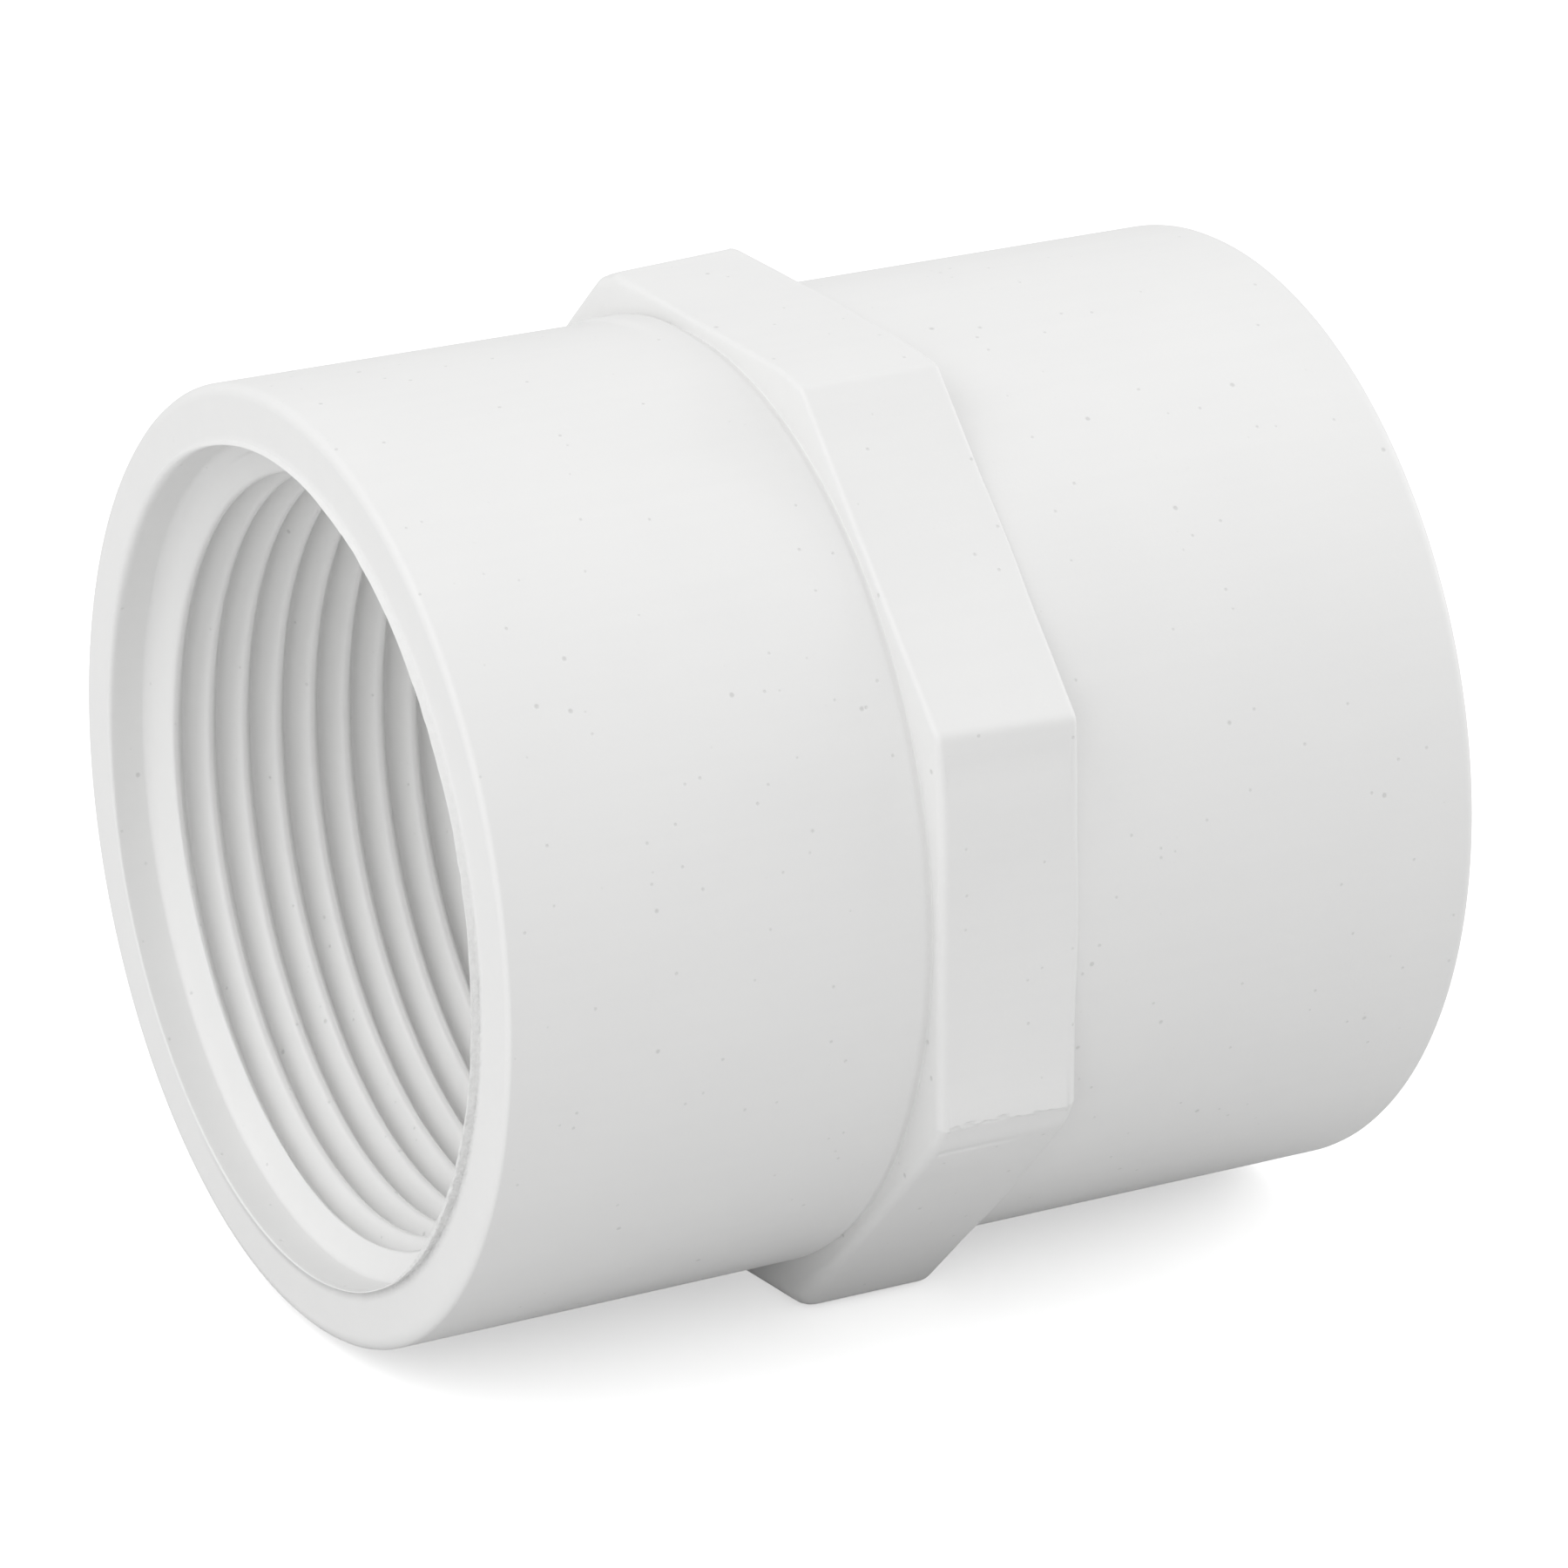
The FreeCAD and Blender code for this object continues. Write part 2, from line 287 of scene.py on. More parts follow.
def strip_cut(x, away, before, after):
    """The plane strip across a corner. Its reach onto the two flats changes across the band."""
    half = math.radians(CORNER_STEP / 2)
    point = BAND_APOTHEM / math.cos(half)
    along = (x + BAND_HALF_WIDTH) / (2 * BAND_HALF_WIDTH)
    a = before[0] + (before[1] - before[0]) * along
    b = after[0] + (after[1] - after[0]) * along
    across = (a + b) * math.cos(half)
    lean = (b - a) * math.sin(half)
    distance = (across * point - a * b * math.sin(CORNER_STEP * math.pi / 180)) / np.hypot(across, lean)
    return distance / np.cos(away[None, :] - np.arctan2(lean, across))


# ---- Rows from mouth to mouth, outside and inside ----
class Rows:
    """Collects rings of the surface: x and radius at every station, in millimetres."""

    def __init__(self):
        self.x = []
        self.r = []

    def add(self, x, r):
        count = max(np.shape(x)[0], np.shape(r)[0])
        x = np.asarray(x, float)
        r = np.asarray(r, float)
        x = x if x.ndim == 2 else x[:, None]
        r = r if r.ndim == 2 else r[:, None]
        self.x.append(np.broadcast_to(x, (count, STATIONS)))
        self.r.append(np.broadcast_to(r, (count, STATIONS)))

    def arrays(self):
        return np.concatenate(self.x), np.concatenate(self.r)


def eased(start, end, count, margin=0.06):
    """Places from start to end, both left out, with one close to each end so that fillets stay crisp."""
    sign = np.sign(end - start)
    return np.linspace(start + sign * margin, end - sign * margin, count)


def arc(count):
    """Angles of a quarter turn, ends included."""
    return np.linspace(0.0, math.pi / 2, count)[:, None]


def band_step(rows, side, fillet, edge, hub):
    """One side of the wrench band: fillet out of the hub, side face, rounded edge. Side is -1 or +1."""
    edge = round_table(edge)
    face = side * BAND_HALF_WIDTH
    top = band_radius(np.full((1, STATIONS), face))
    height = top - hub
    scale = np.minimum(height * 0.98 / (fillet + edge), 1.0)
    fillet = fillet * scale
    edge = edge * scale
    turn = arc(7)
    fillet_x = face + side * fillet * (1 - np.sin(turn))
    fillet_r = hub + fillet * (1 - np.cos(turn))
    share = np.array([0.08, 0.5, 0.92])[:, None]
    wall_r = (hub + fillet) + (height - fillet - edge) * share
    wall_x = np.full_like(wall_r, face)
    edge_x = face - side * edge * (1 - np.cos(turn))
    edge_r = top - edge * (1 - np.sin(turn))
    parts = [(fillet_x, fillet_r), (wall_x, wall_r), (edge_x, edge_r)]
    if side > 0:
        parts = [(x[::-1], r[::-1]) for x, r in reversed(parts)]
    for x, r in parts:
        rows.add(x, r)


def outside():
    """From the threaded mouth's edge round the outside to the socket mouth's edge."""
    rows = Rows()
    turn = arc(6)
    end = HALF_LENGTH
    # Threaded end face, rim and hub.
    rows.add([-end], [(RECESS_RADIUS + HUB_RADIUS_THREAD) / 2])
    across = round_table(RIM_ACROSS)
    along = round_table(RIM_ALONG)
    rows.add([-end], HUB_RADIUS_THREAD - across - RIM_RING)
    rows.add(-end + along * (1 - np.cos(turn)), HUB_RADIUS_THREAD - across * (1 - np.sin(turn)))
    hub_x = eased(-end + along[0], -BAND_HALF_WIDTH - NEAR_FILLET - CREASE_REACH, HUB_ROWS)
    share = (hub_x + end) / (end - BAND_HALF_WIDTH)
    rows.add(hub_x, HUB_RADIUS_THREAD + (HUB_RADIUS_WAIST - HUB_RADIUS_THREAD) * share)
    crease = CREASE_ROWS[::-1, None] * np.ones((1, STATIONS))
    rows.add(-BAND_HALF_WIDTH - NEAR_FILLET - crease, HUB_RADIUS_WAIST + crease_height(crease))
    # Wrench band.
    band_step(rows, -1, NEAR_FILLET, NEAR_EDGE, HUB_RADIUS_WAIST - CREASE_DEPTH)
    near = -BAND_HALF_WIDTH + round_table(NEAR_EDGE)[0]
    far = BAND_HALF_WIDTH - round_table(FAR_EDGE)[0]
    flat_x = eased(near, far, BAND_ROWS)
    rows.add(flat_x, band_radius(flat_x) + band_marks(flat_x))
    band_step(rows, 1, FAR_FILLET, FAR_EDGE, HUB_RADIUS_SOCKET)
    # Socket hub, rim and end face.
    hub_x = eased(BAND_HALF_WIDTH + FAR_FILLET, end - OUTER_RIM_RADIUS, HUB_ROWS)
    rows.add(hub_x, np.full(len(hub_x), HUB_RADIUS_SOCKET))
    turn = arc(6)[::-1]
    rows.add(end - OUTER_RIM_RADIUS * (1 - np.cos(turn)),
             HUB_RADIUS_SOCKET - OUTER_RIM_RADIUS * (1 - np.sin(turn)))
    rows.add([end], [HUB_RADIUS_SOCKET - OUTER_RIM_RADIUS - RIM_RING])
    rows.add([end], [(SOCKET_LEAD_RADIUS + HUB_RADIUS_SOCKET) / 2])
    rows.add([end], [SOCKET_LEAD_RADIUS + FACE_RING])
    return rows.arrays()


def crease_height(away):
    """The hub's height by distance from the band's fillet: a low collar in places, then a crease."""
    raised = round_table(COLLAR) * smooth_step(2.6, 1.9, away)
    return raised * smooth_step(0.0, 0.45, away) - CREASE_DEPTH * (1 - smooth_step(0.0, CREASE_WIDTH, away))


def band_marks(x):
    """What the mould left on the band, as a height in millimetres over each row and station."""
    height = np.zeros_like(x)
    # A film of flash ends in a ragged line above the strip at the corner.
    away = from_corner(FLASH_CORNER)[None, :]
    turned = from_corner(FLASH_CORNER - CORNER_STEP / 2)[None, :]
    side = BAND_APOTHEM * np.tan(turned)
    on_flat = np.abs(turned) < math.radians(CORNER_STEP / 2 + 2.0)
    random = np.random.default_rng(SEED)
    knots = np.linspace(-BAND_HALF_WIDTH, BAND_HALF_WIDTH, FILM_KNOTS)
    ragged = np.interp(x, knots, random.uniform(-FILM_RAGGED, FILM_RAGGED, len(knots)))
    line = np.interp(x, *zip(*FILM_LINE)) + ragged
    film = smooth_step(line + 0.05, line - 0.02, side) * smooth_step(*FILM_FADE, side)
    height += np.where(on_flat, FILM_HEIGHT * film, 0.0)
    # Just past the corner, a fine crease fades out towards the socket side.
    below = away * BAND_APOTHEM / math.cos(math.radians(CORNER_STEP / 2)) - FINE_CREASE_PLACE
    height -= FINE_CREASE_DEPTH * np.exp(-(below / FINE_CREASE_WIDTH) ** 2) * smooth_step(2.5, -1.5, x)
    # The top of the same flat is hollow, then rises past its level to a step, sharpest at the socket end.
    sharp = smooth_step(-3.5, 3.0, x)
    hollow = np.exp(-((side - HOLLOW_PLACE) / HOLLOW_WIDTH) ** 2)
    proud = smooth_step(*STEP_RISE, side) * smooth_step(*STEP_FALL, side) * sharp
    height += np.where(on_flat, STEP_HEIGHT * proud - HOLLOW_DEPTH * hollow, 0.0)
    return height


def thread_pitch_line(x):
    return THREAD_PITCH_RADIUS - (x - THREAD_START) * THREAD_TAPER


def thread_radius(x, theta):
    """Distance from the axis to the thread's surface, lead-in cone included."""
    line = thread_pitch_line(x)
    crest = line - THREAD_CREST
    start = thread_pitch_line(THREAD_START + LEAD_IN_LENGTH) - THREAD_CREST
    slope = (RECESS_RADIUS - start) / LEAD_IN_LENGTH
    cone = smooth_min(RECESS_RADIUS - (x - THREAD_START) * slope, RECESS_RADIUS, RECESS_BLEND)
    turns = (x - GROOVE_PHASE) / THREAD_PITCH - (theta - math.pi / 2) / (2 * math.pi)
    away = np.abs(turns - np.round(turns)) * THREAD_PITCH
    depth = (THREAD_PITCH / 4 - away) / THREAD_FLANK
    groove = smooth_min(smooth_max(depth, -THREAD_CREST, CREST_BLEND), THREAD_ROOT, ROOT_BLEND)
    fade_length = THREAD_FADE_TURNS * THREAD_PITCH
    fade = smooth_step(THREAD_LENGTH, THREAD_LENGTH - fade_length, x - THREAD_START)
    groove = -THREAD_CREST + (groove + THREAD_CREST) * fade
    bore = smooth_max(crest, cone, CONE_BLEND)
    return smooth_max(bore, line + groove, GROOVE_BLEND)


def groove_rows():
    """Rows in one turn of the thread, in millimetres from the groove's centre: close together at bends."""
    root = THREAD_PITCH / 4 - THREAD_ROOT * THREAD_FLANK
    crest = THREAD_PITCH / 4 + THREAD_CREST * THREAD_FLANK
    beside_root = [root - 0.02, root + 0.05]
    to_crest = np.linspace(crest - 0.18, THREAD_PITCH / 2 - 0.06, 4)
    half = np.concatenate([beside_root, to_crest])
    return np.concatenate([-half[::-1], [0.0], half])


def inside():
    """Rings from the socket mouth's edge to the thread's end, and from its start to the threaded mouth."""
    end = HALF_LENGTH
    floor = end - SOCKET_LEAD_LENGTH - SOCKET_LENGTH
    back = Rows()
    back.add([end], [SOCKET_LEAD_RADIUS + 0.06])
    back.add([end - 0.08], [SOCKET_LEAD_RADIUS - 0.02])
    lead_x = eased(end - 0.08, end - SOCKET_LEAD_LENGTH, 3)
    share = (end - lead_x) / SOCKET_LEAD_LENGTH
    back.add(lead_x, SOCKET_LEAD_RADIUS + (SOCKET_RADIUS - SOCKET_LEAD_RADIUS) * share)
    back.add([end - SOCKET_LEAD_LENGTH], [SOCKET_RADIUS])
    back.add(eased(end - SOCKET_LEAD_LENGTH, floor + SOCKET_FLOOR_ROUND, 8), np.full(8, SOCKET_RADIUS))
    turn = arc(4)
    back.add(floor + SOCKET_FLOOR_ROUND * (1 - np.sin(turn)),
             SOCKET_RADIUS - SOCKET_FLOOR_ROUND * (1 - np.cos(turn)))
    back.add([floor], [SOCKET_RADIUS - 0.36])
    back.add([floor], [(SOCKET_RADIUS + WATERWAY_RADIUS) / 2])
    back.add([floor], [WATERWAY_RADIUS + 0.3])
    back.add(floor - WATERWAY_ROUND * (1 - np.cos(turn)),
             WATERWAY_RADIUS + WATERWAY_ROUND * (1 - np.sin(turn)))
    thread_end = THREAD_START + THREAD_LENGTH
    crest_end = thread_pitch_line(thread_end) - THREAD_CREST
    shoulder = crest_end - WATERWAY_RADIUS
    back.add(eased(floor - WATERWAY_ROUND, thread_end + shoulder, 4), np.full(4, WATERWAY_RADIUS))
    back.add(eased(thread_end + shoulder, thread_end, 3), eased(WATERWAY_RADIUS, crest_end, 3))
    cone_end = THREAD_START + LEAD_IN_LENGTH
    front = Rows()
    recess_start = THREAD_START - RECESS_BEND_REACH
    cone_x = np.linspace(cone_end, recess_start, CONE_ROWS)
    front.add(cone_x, thread_radius(cone_x[:, None], THETA[None, :]))
    front.add(eased(recess_start, -end + FLASH_DEPTH + 0.05, 3), np.full(3, RECESS_RADIUS))
    mouth_flash(front)
    return back.arrays(), front.arrays()


def mouth_flash(rows):
    """The mouth's rounded inner edge, with a thin ridge of trimmed flash standing on part of it."""
    end = HALF_LENGTH
    rough = round_table(FLASH_ROUGH)
    height = round_table(FLASH_HEIGHT)
    present = smooth_step(*FLASH_FADE, height)
    height = height + present * (seeded_waves(**SWELL) + rough * seeded_waves(**RIPPLE))
    height = np.maximum(height, 0.0)
    plain = round_table(MOUTH_EDGE)
    edge = plain + (FLASH_EDGE - plain) * present
    tip = RECESS_RADIUS - round_table(FLASH_LEAN) + edge
    # Inner side, from the recess wall to the tip.
    share = np.linspace(0.0, 1.0, 6)[:, None]
    root = -end + FLASH_DEPTH
    top = -end - height + edge
    rows.add(root + (top - root) * share, RECESS_RADIUS + (tip - edge - RECESS_RADIUS) * share ** 2)
    # Rounded tip and its top.
    turn = arc(6)[1:]
    rows.add(top - edge * np.sin(turn), tip - edge * np.cos(turn))
    flat = np.maximum(round_table(FLASH_TOP), FLASH_TOP_LEAST)
    sunk = 0.1 * (flat - FLASH_TOP_LEAST)
    share = np.array([0.33, 0.67, 1.0])[:, None]
    scar = present * rough * np.minimum(flat / 0.2, 1.0) * seeded_waves(**TOP_SCAR, rows=len(share))
    rows.add(-end - height + sunk * share + scar, tip + flat * share)
    # Outer side, down to its foot on the end face.
    brow = tip + flat
    foot = RECESS_RADIUS + plain + 0.06 - 0.11 * present
    share = np.array([0.1, 0.28, 0.46, 0.64, 0.82, 0.94])[:, None]
    scar = present * (0.15 + rough) * seeded_waves(**SIDE_SCAR, rows=len(share)) * np.sin(math.pi * share)
    rows.add(-end - (height - sunk) * (1 - share), brow + (foot - brow) * share + scar)
    rows.add([-end], [FACE_INNER_RADIUS])
    rows.add([-end], [FACE_INNER_RADIUS + FACE_RING])


def seeded_waves(seed, height, counts, rows=1):
    """A wavering height over the stations, in millimetres: waves, `counts` times round the axis."""
    random = np.random.default_rng(SEED + seed)
    total = np.zeros((rows, STATIONS))
    for count in random.integers(counts[0], counts[1], WAVES):
        phase = random.uniform(0, 2 * math.pi, (rows, 1))
        total += np.sin(count * THETA[None, :] + phase)
    return total * height * math.sqrt(2 / WAVES)


def thread_rows():
    """Rows that climb with the thread, held between its two ends, and how many there are to one turn."""
    start = THREAD_START + LEAD_IN_LENGTH
    end = THREAD_START + THREAD_LENGTH
    offsets = groove_rows()
    first = math.floor((start - GROOVE_PHASE) / THREAD_PITCH) - 2
    last = math.ceil((end - GROOVE_PHASE) / THREAD_PITCH) + 1
    centres = GROOVE_PHASE + THREAD_PITCH * np.arange(first, last + 1)
    base = (centres[:, None] + offsets[None, :]).ravel()
    x = np.clip(base[:, None] + THREAD_PITCH * (THETA[None, :] - math.pi / 2) / (2 * math.pi), start, end)
    return x, thread_radius(x, THETA[None, :]), len(offsets)


def to_points(x, r):
    """Millimetre rows and stations to metre positions."""
    y = r * np.cos(THETA)[None, :]
    z = r * np.sin(THETA)[None, :]
    return np.stack([x, y, z], axis=-1).reshape(-1, 3) * MM


def ring_faces(last_row, start, shift=0):
    """Quads between neighbouring rows of one grid. The last station joins the first, `shift` rows on."""
    rows = np.arange(last_row)[:, None]
    stations = np.arange(STATIONS)[None, :]
    following = (stations + 1) % STATIONS
    jump = np.where(stations == STATIONS - 1, shift, 0)
    a = start + rows * STATIONS + stations
    b = start + (rows + jump) * STATIONS + following
    quads = np.stack([a, a + STATIONS, b + STATIONS, b], axis=-1)
    return quads[rows + jump + 1 <= last_row]


def fitting_mesh():
    """The whole surface: a closed loop of rings, with the thread's climbing rows between two of them."""
    outer_x, outer_r = outside()
    (back_x, back_r), (front_x, front_r) = inside()
    climb_x, climb_r, per_turn = thread_rows()
    end = THREAD_START + THREAD_LENGTH
    last_ring = np.full((1, STATIONS), end)
    chain_x = np.concatenate([front_x, outer_x, back_x, last_ring])
    chain_r = np.concatenate([front_r, outer_r, back_r, thread_radius(last_ring, THETA[None, :])])
    points = np.concatenate([to_points(chain_x, chain_r), to_points(climb_x, climb_r)])
    quads = [ring_faces(len(chain_x) - 1, 0)]
    climb_start = chain_x.size
    quads.append(ring_faces(len(climb_x) - 1, climb_start, per_turn)[:, ::-1])
    return points, np.concatenate(quads)


def torn_share(points):
    """How torn the surface is at each point, from 0 to 1: only the flash round the mouth is."""
    x, y, z = (points / MM).T
    angles, values = zip(*FLASH_ROUGH)
    share = np.interp(np.degrees(np.arctan2(-y, z)), angles, values, period=360)
    radius = np.hypot(y, z)
    ring = (radius < RECESS_RADIUS + TORN_REACH) & (x < -HALF_LENGTH + 0.5 * FLASH_DEPTH)
    return np.where(ring, share, 0.0)


MERGE_DISTANCE = 0.0005 * MM


def build_piece(name, points, quads):
    """A mesh object from points and quads, with coinciding points merged and normals facing out."""
    mesh = bpy.data.meshes.new(name)
    mesh.from_pydata(points.tolist(), [], quads.tolist())
    torn = mesh.attributes.new(TORN, "FLOAT", "POINT")
    torn.data.foreach_set("value", torn_share(points).astype(np.float32))
    work = bmesh.new()
    work.from_mesh(mesh)
    bmesh.ops.remove_doubles(work, verts=work.verts, dist=MERGE_DISTANCE)
    bmesh.ops.dissolve_degenerate(work, dist=MERGE_DISTANCE, edges=work.edges)
    bmesh.ops.recalc_face_normals(work, faces=work.faces)
    work.to_mesh(mesh)
    work.free()
    mesh.shade_smooth()
    piece = bpy.data.objects.new(name, mesh)
    bpy.context.scene.collection.objects.link(piece)
    return piece


# ---- Material. Lengths are in metres, and noise scales are to the metre. ----
MOTTLE_NOISE = 140.0
MOTTLE_SHARE = 0.6
STREAK_NOISE = 900.0
STREAK_STRETCH = (0.06, 1.0, 1.0)
STREAK_SHARE = 0.4
# The specks' cell size, radius, share of the cells that have one, and shift; then how grey they are.
SMALL_SPECKS = (0.0010, 0.0001, 0.22, 0.0)
SMALL_SPECK_GREY = 0.22
LARGE_SPECKS = (0.0025, 0.00015, 0.4, 0.31)
LARGE_SPECK_GREY = 0.3
SMEAR_NOISE = 2600.0
PATCH_NOISE = 190.0
SCUFF_GREY = 0.12
SCUFF_DULL = 0.2
# Painted shade on the torn flash: the scale of its patches, and how far it darkens towards the grey.
FLASH_SHADE_NOISE = 2400.0
FLASH_SHADE_MOST = 0.15
TORN_DULL = 0.25
GLOSS_NOISE = 420.0
ROUGHNESS_LEAST = 0.44
ROUGHNESS_MOST = 0.53
# Relief: the noise's scale where there is one, then the height and the strength.
TEXTURE_RELIEF = (5200.0, 0.000012, 0.5)
SHRINK_RELIEF = (150.0, 0.00005, 0.12)
PIT_RELIEF = (0.00004, 0.6)
TEAR_RELIEF = (3800.0, 0.00016, 0.8)
PVC_IOR = 1.53


class Nodes:
    """Shorthand for one material's node tree. Every texture reads object coordinates, in metres."""

    def __init__(self, name):
        self.material = bpy.data.materials.new(name)
        self.material.use_nodes = True
        self.tree = self.material.node_tree
        self.shader = self.tree.nodes["Principled BSDF"]
        self.place = self.tree.nodes.new("ShaderNodeTexCoord").outputs["Object"]

    def add(self, kind, values=(), **settings):
        """A node with its settings, its first inputs linked or set from `values`, and its first output."""
        node = self.tree.nodes.new("ShaderNode" + kind)
        for name, value in settings.items():
            setattr(node, name, value)
        for number, value in enumerate(values):
            self.put(node.inputs[number], value)
        return node.outputs[0]

    def put(self, socket, value):
        if hasattr(value, "is_output"):
            self.tree.links.new(value, socket)
        elif value is not None:
            socket.default_value = value

    def math(self, operation, *values):
        return self.add("Math", values, operation=operation)

    def stretched(self, scale):
        node = self.tree.nodes.new("ShaderNodeMapping")
        self.put(node.inputs["Vector"], self.place)
        node.inputs["Scale"].default_value = scale
        return node.outputs[0]

    def noise(self, scale, detail=2.0, place=None):
        """Noise from about 0 to 1, `scale` to the metre."""
        node = self.tree.nodes.new("ShaderNodeTexNoise")
        self.put(node.inputs["Vector"], place or self.place)
        node.inputs["Scale"].default_value = scale
        node.inputs["Detail"].default_value = detail
        return node.outputs[0]

    def ramp(self, value, low, high, low_to=0.0, high_to=1.0):
        """A value between two limits, smoothly read as another range."""
        node = self.tree.nodes.new("ShaderNodeMapRange")
        node.interpolation_type = "SMOOTHSTEP"
        for number, setting in enumerate((value, low, high, low_to, high_to)):
            self.put(node.inputs[number], setting)
        return node.outputs[0]

    def mix(self, factor, a, b):
        """One colour turning into another."""
        node = self.tree.nodes.new("ShaderNodeMix")
        node.data_type = "RGBA"
        self.put(node.inputs["Factor"], factor)
        self.put(node.inputs["A"], a)
        self.put(node.inputs["B"], b)
        return node.outputs["Result"]

    def specks(self, cells, radius, keep, offset):
        """Small round marks: one to a cell of the given size in metres, kept in that share of the cells."""
        node = self.tree.nodes.new("ShaderNodeTexVoronoi")
        shifted = self.add("VectorMath", (self.place, (offset, offset, offset)), operation="ADD")
        self.put(node.inputs["Vector"], shifted)
        node.inputs["Scale"].default_value = 1.0 / cells
        edge = radius / cells
        dot = self.ramp(node.outputs["Distance"], 1.3 * edge, 0.5 * edge)
        chosen = self.add("SeparateColor", (node.outputs["Color"],))
        return self.math("MULTIPLY", dot, self.math("LESS_THAN", chosen, keep))

    def bump(self, height, distance, strength, onto=None):
        node = self.tree.nodes.new("ShaderNodeBump")
        node.inputs["Strength"].default_value = strength
        node.inputs["Distance"].default_value = distance
        self.put(node.inputs["Height"], height)
        if onto:
            self.put(node.inputs["Normal"], onto)
        return node.outputs[0]


def pvc_tint(nodes):
    """Cloudy mottling, with streaks along the axis."""
    cloud = nodes.ramp(nodes.noise(MOTTLE_NOISE, 3.0), 0.3, 0.7)
    streak = nodes.ramp(nodes.noise(STREAK_NOISE, 2.0, nodes.stretched(STREAK_STRETCH)), 0.3, 0.7)
    tint = nodes.math("MULTIPLY_ADD", cloud, MOTTLE_SHARE, nodes.math("MULTIPLY", streak, STREAK_SHARE))
    return nodes.mix(tint, PVC_DARK, PVC_LIGHT)


def pvc_scuff(nodes):
    """Fine smears in scattered patches, from 0 to 1."""
    smear = nodes.ramp(nodes.noise(SMEAR_NOISE, 3.0), 0.66, 0.8)
    patch = nodes.ramp(nodes.noise(PATCH_NOISE, 1.0), 0.62, 0.74)
    return nodes.math("MULTIPLY", smear, patch)


def pvc_marks_and_shade(nodes, small, large, scuff, torn):
    """How grey the surface is with specks and scuffs, and with painted shade in patches on the torn flash.
    """
    small_grey = nodes.math("MULTIPLY", small, SMALL_SPECK_GREY)
    large_grey = nodes.math("MULTIPLY", large, LARGE_SPECK_GREY)
    grey_and_shade = nodes.math("MAXIMUM", small_grey, large_grey)
    grey_and_shade = nodes.math("MAXIMUM", grey_and_shade, nodes.math("MULTIPLY", scuff, SCUFF_GREY))
    # Painted shade: patches on the torn flash are darkened, standing in for the shade of its rough, creased
    # surface.
    flash_shade = nodes.ramp(nodes.noise(FLASH_SHADE_NOISE, 3.0), 0.35, 0.75, 0.0, FLASH_SHADE_MOST)
    return nodes.math("MAXIMUM", grey_and_shade, nodes.math("MULTIPLY", torn, flash_shade))


def pvc_roughness(nodes, scuff, torn):
    """Satin, duller in the scuffs and on the torn flash."""
    sheen = nodes.ramp(nodes.noise(GLOSS_NOISE, 2.0), 0.25, 0.75, ROUGHNESS_LEAST, ROUGHNESS_MOST)
    scuff_dull = nodes.math("MULTIPLY", scuff, SCUFF_DULL)
    torn_dull = nodes.math("MULTIPLY", torn, TORN_DULL)
    return nodes.math("ADD", sheen, nodes.math("MAXIMUM", scuff_dull, torn_dull))


def pvc_relief(nodes, marks, torn):
    """The mould's fine texture, slow waves of shrinkage, pits at the specks, and tearing on the flash."""
    scale, height, strength = TEXTURE_RELIEF
    normal = nodes.bump(nodes.noise(scale, 2.0), height, strength)
    scale, height, strength = SHRINK_RELIEF
    normal = nodes.bump(nodes.noise(scale, 1.0), height, strength, normal)
    height, strength = PIT_RELIEF
    normal = nodes.bump(nodes.math("SUBTRACT", 1.0, marks), height, strength, normal)
    scale, height, strength = TEAR_RELIEF
    return nodes.bump(nodes.math("MULTIPLY", torn, nodes.noise(scale, 4.0)), height, strength, normal)


def pvc_material():
    """White rigid PVC as moulded."""
    nodes = Nodes("white_pvc_moulded")
    attribute = nodes.tree.nodes.new("ShaderNodeAttribute")
    attribute.attribute_name = TORN
    torn = attribute.outputs["Fac"]
    small = nodes.specks(*SMALL_SPECKS)
    large = nodes.specks(*LARGE_SPECKS)
    marks = nodes.math("MAXIMUM", small, large)
    scuff = pvc_scuff(nodes)
    grey_and_shade = pvc_marks_and_shade(nodes, small, large, scuff, torn)
    shader = nodes.shader.inputs
    # The colour: mottled PVC, greyed by the specks and scuffs and by painted shade on the torn flash.
    nodes.put(shader["Base Color"], nodes.mix(grey_and_shade, pvc_tint(nodes), PVC_SPECK_AND_SHADE_GREY))
    nodes.put(shader["Roughness"], pvc_roughness(nodes, scuff, torn))
    nodes.put(shader["Normal"], pvc_relief(nodes, marks, torn))
    shader["IOR"].default_value = PVC_IOR
    return nodes.material


# ---- Camera, floor and light ----
CAMERA_AZIMUTH = 28.5
CAMERA_ELEVATION = 20.89
CAMERA_DISTANCE = 0.5107
CAMERA_LENS = 199.0
SENSOR_WIDTH = 36.0
# Where the camera points: how far right of the fitting's centre, and how far above it.
AIM_RIGHT = 0.0010
AIM_UP = -0.00043
FLOOR_HALF_WIDTH = 3.0
FLOOR_COLOUR = (0.93, 0.93, 0.93, 1.0)
FLOOR_ROUGHNESS = 0.9
FLOOR_GLOW = 0.48
FLOOR_BOUNCE = 0.68
WHITE = (1.0, 1.0, 1.0, 1.0)


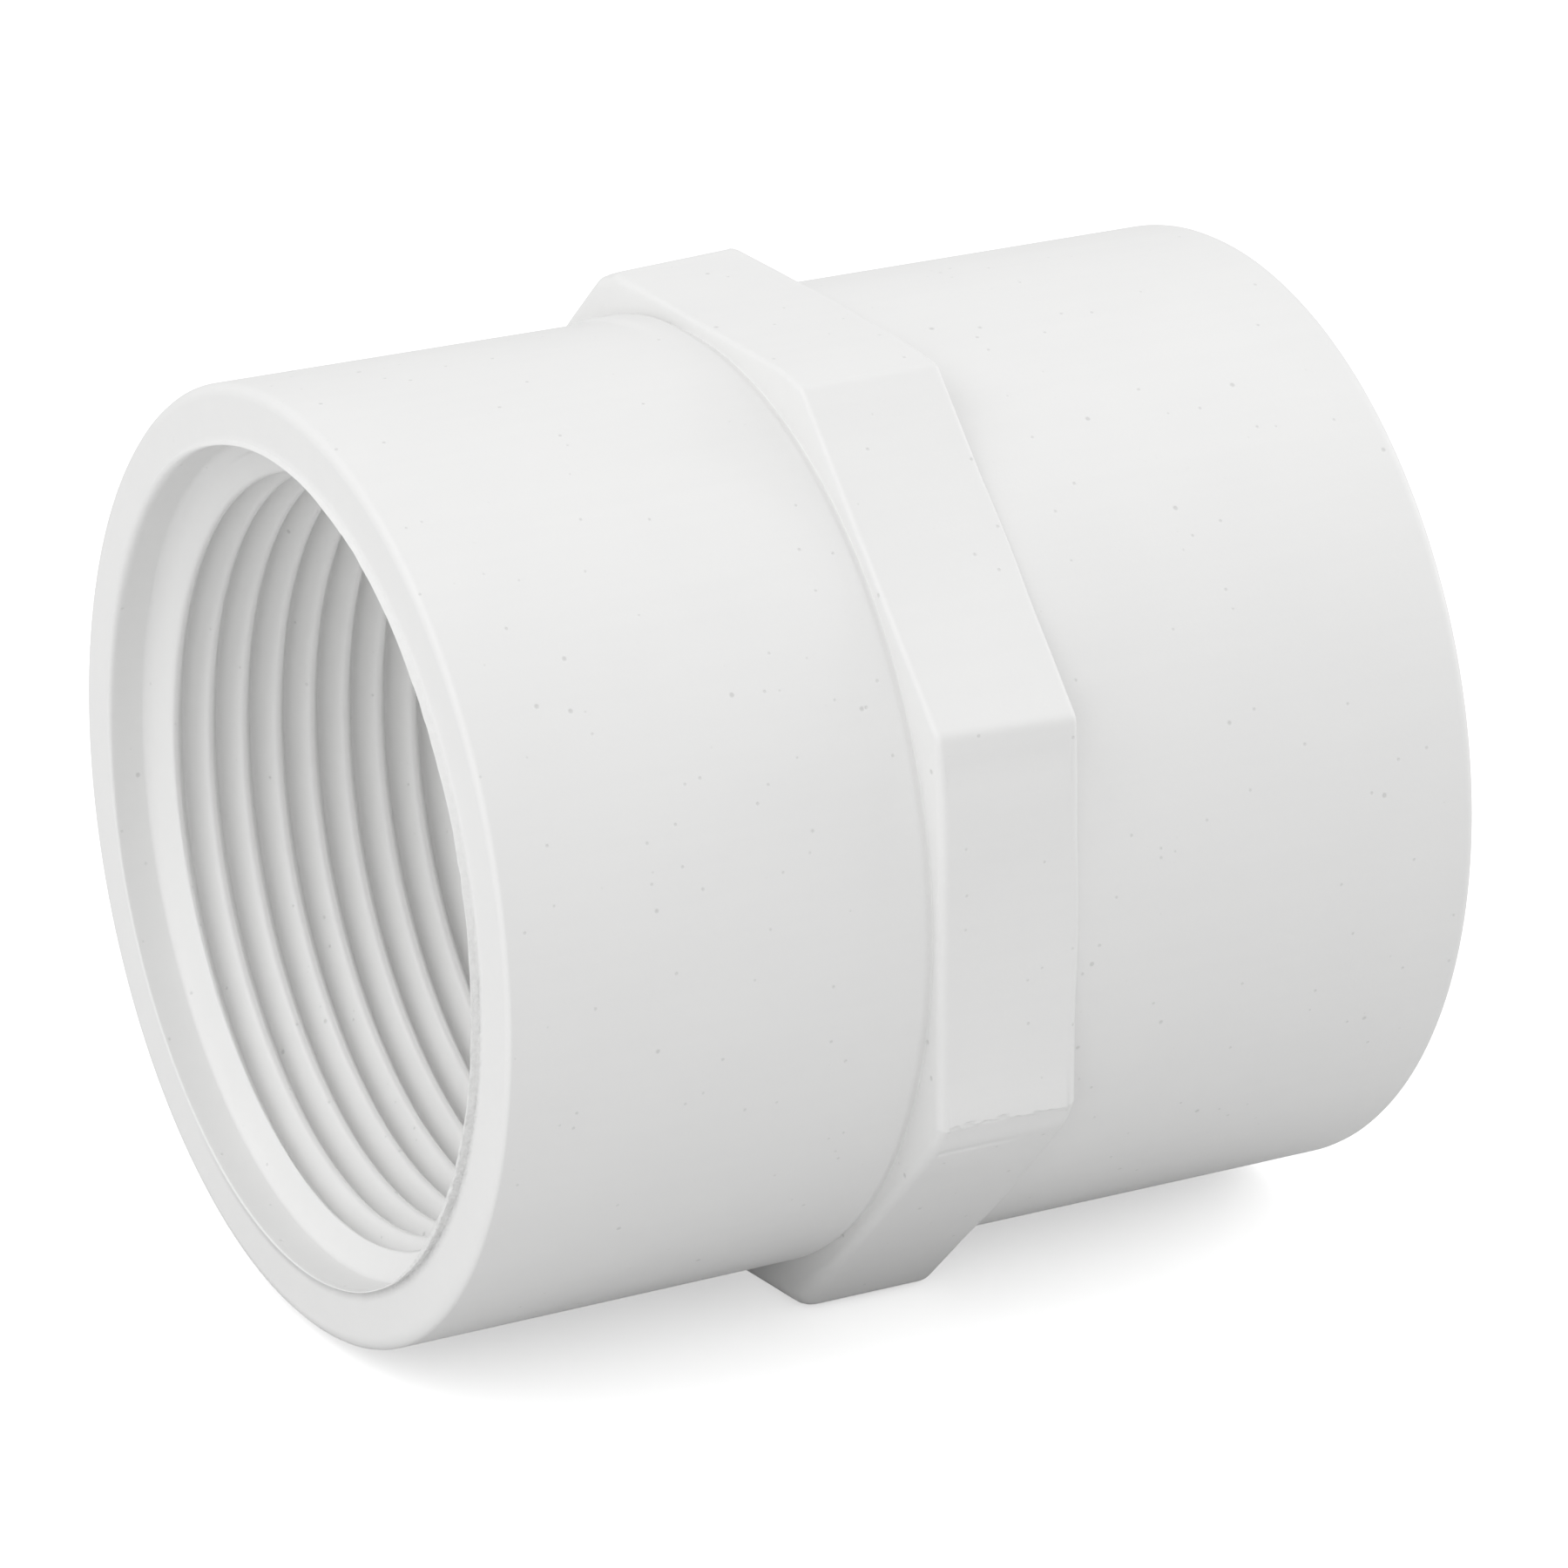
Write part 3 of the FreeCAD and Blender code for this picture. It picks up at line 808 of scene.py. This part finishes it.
def make_camera():
    """A long lens that looks down on the fitting from the threaded end, to the right of -Y."""
    azimuth = math.radians(CAMERA_AZIMUTH)
    elevation = math.radians(CAMERA_ELEVATION)
    right = Vector((math.cos(azimuth), -math.sin(azimuth), 0.0))
    forward = Vector((math.sin(azimuth) * math.cos(elevation), math.cos(azimuth) * math.cos(elevation),
                      -math.sin(elevation)))
    up = right.cross(forward)
    centre = Vector([(low + high) / 2 for low, high in zip(*cad_bounds)])
    place = centre + right * AIM_RIGHT + up * AIM_UP - forward * CAMERA_DISTANCE
    data = bpy.data.cameras.new("camera")
    data.lens = CAMERA_LENS
    data.sensor_width = SENSOR_WIDTH
    data.dof.use_dof = False
    data.clip_start = 0.01
    camera = bpy.data.objects.new("camera", data)
    axes = Matrix((right, up, -forward)).transposed()
    camera.matrix_world = Matrix.Translation(place) @ axes.to_4x4()
    bpy.context.scene.collection.objects.link(camera)
    bpy.context.scene.camera = camera


def floor_material():
    """Near-white as the camera sees it, but a greyer floor in the light that it throws on the fitting."""
    material = bpy.data.materials.new("pale_floor")
    material.use_nodes = True
    nodes = material.node_tree.nodes
    links = material.node_tree.links
    seen = nodes["Principled BSDF"]
    seen.inputs["Base Color"].default_value = FLOOR_COLOUR
    seen.inputs["Roughness"].default_value = FLOOR_ROUGHNESS
    seen.inputs["Emission Color"].default_value = WHITE
    seen.inputs["Emission Strength"].default_value = FLOOR_GLOW
    bounce = nodes.new("ShaderNodeBsdfDiffuse")
    bounce.inputs["Color"].default_value = (FLOOR_BOUNCE, FLOOR_BOUNCE, FLOOR_BOUNCE, 1.0)
    path = nodes.new("ShaderNodeLightPath")
    mix = nodes.new("ShaderNodeMixShader")
    links.new(path.outputs["Is Camera Ray"], mix.inputs[0])
    links.new(bounce.outputs[0], mix.inputs[1])
    links.new(seen.outputs[0], mix.inputs[2])
    links.new(mix.outputs[0], nodes["Material Output"].inputs["Surface"])
    return material


def make_floor():
    """A wide, plain, near-white floor that the band's lowest flat rests on."""
    size = FLOOR_HALF_WIDTH
    level = cad_bounds[0][2]
    mesh = bpy.data.meshes.new("floor")
    corners = [(-size, -size, level), (size, -size, level), (size, size, level), (-size, size, level)]
    mesh.from_pydata(corners, [], [(0, 1, 2, 3)])
    floor = bpy.data.objects.new("floor", mesh)
    bpy.context.scene.collection.objects.link(floor)
    mesh.materials.append(floor_material())


def make_area(name, place, target, size, power):
    data = bpy.data.lights.new(name, "AREA")
    data.shape = "DISK"
    data.size = size
    data.energy = power
    lamp = bpy.data.objects.new(name, data)
    lamp.location = place
    lamp.rotation_euler = (Vector(target) - Vector(place)).to_track_quat("-Z", "Y").to_euler()
    bpy.context.scene.collection.objects.link(lamp)


# A bright, even room, with five softboxes: where each stands, its width in metres and its power in watts.
WORLD_STRENGTH = 0.736
SOFTBOXES = (
    ("softbox_upper_left", (-0.8, 0.0, 0.8), 0.9, 2.8),
    ("softbox_upper_right", (0.8, 0.0, 0.8), 0.9, 1.35),
    ("softbox_right", (1.1, 0.0, 0.25), 0.7, 2.76),
    ("softbox_front_left", (-0.7, -0.85, 0.25), 0.7, 1.25),
    ("softbox_left", (-1.1, 0.0, 0.25), 0.7, 0.62),
)


def make_light():
    world = bpy.data.worlds.new("studio")
    bpy.context.scene.world = world
    world.use_nodes = True
    background = world.node_tree.nodes["Background"]
    background.inputs["Color"].default_value = WHITE
    background.inputs["Strength"].default_value = WORLD_STRENGTH
    for name, place, size, power in SOFTBOXES:
        make_area(name, place, (0, 0, 0), size, power)


bpy.context.scene.view_settings.view_transform = "Standard"
make_camera()
make_floor()
make_light()

moulding = build_piece("fitting_moulding", *fitting_mesh())
moulding.data.materials.append(pvc_material())
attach(moulding, "root")
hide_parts(NODE)
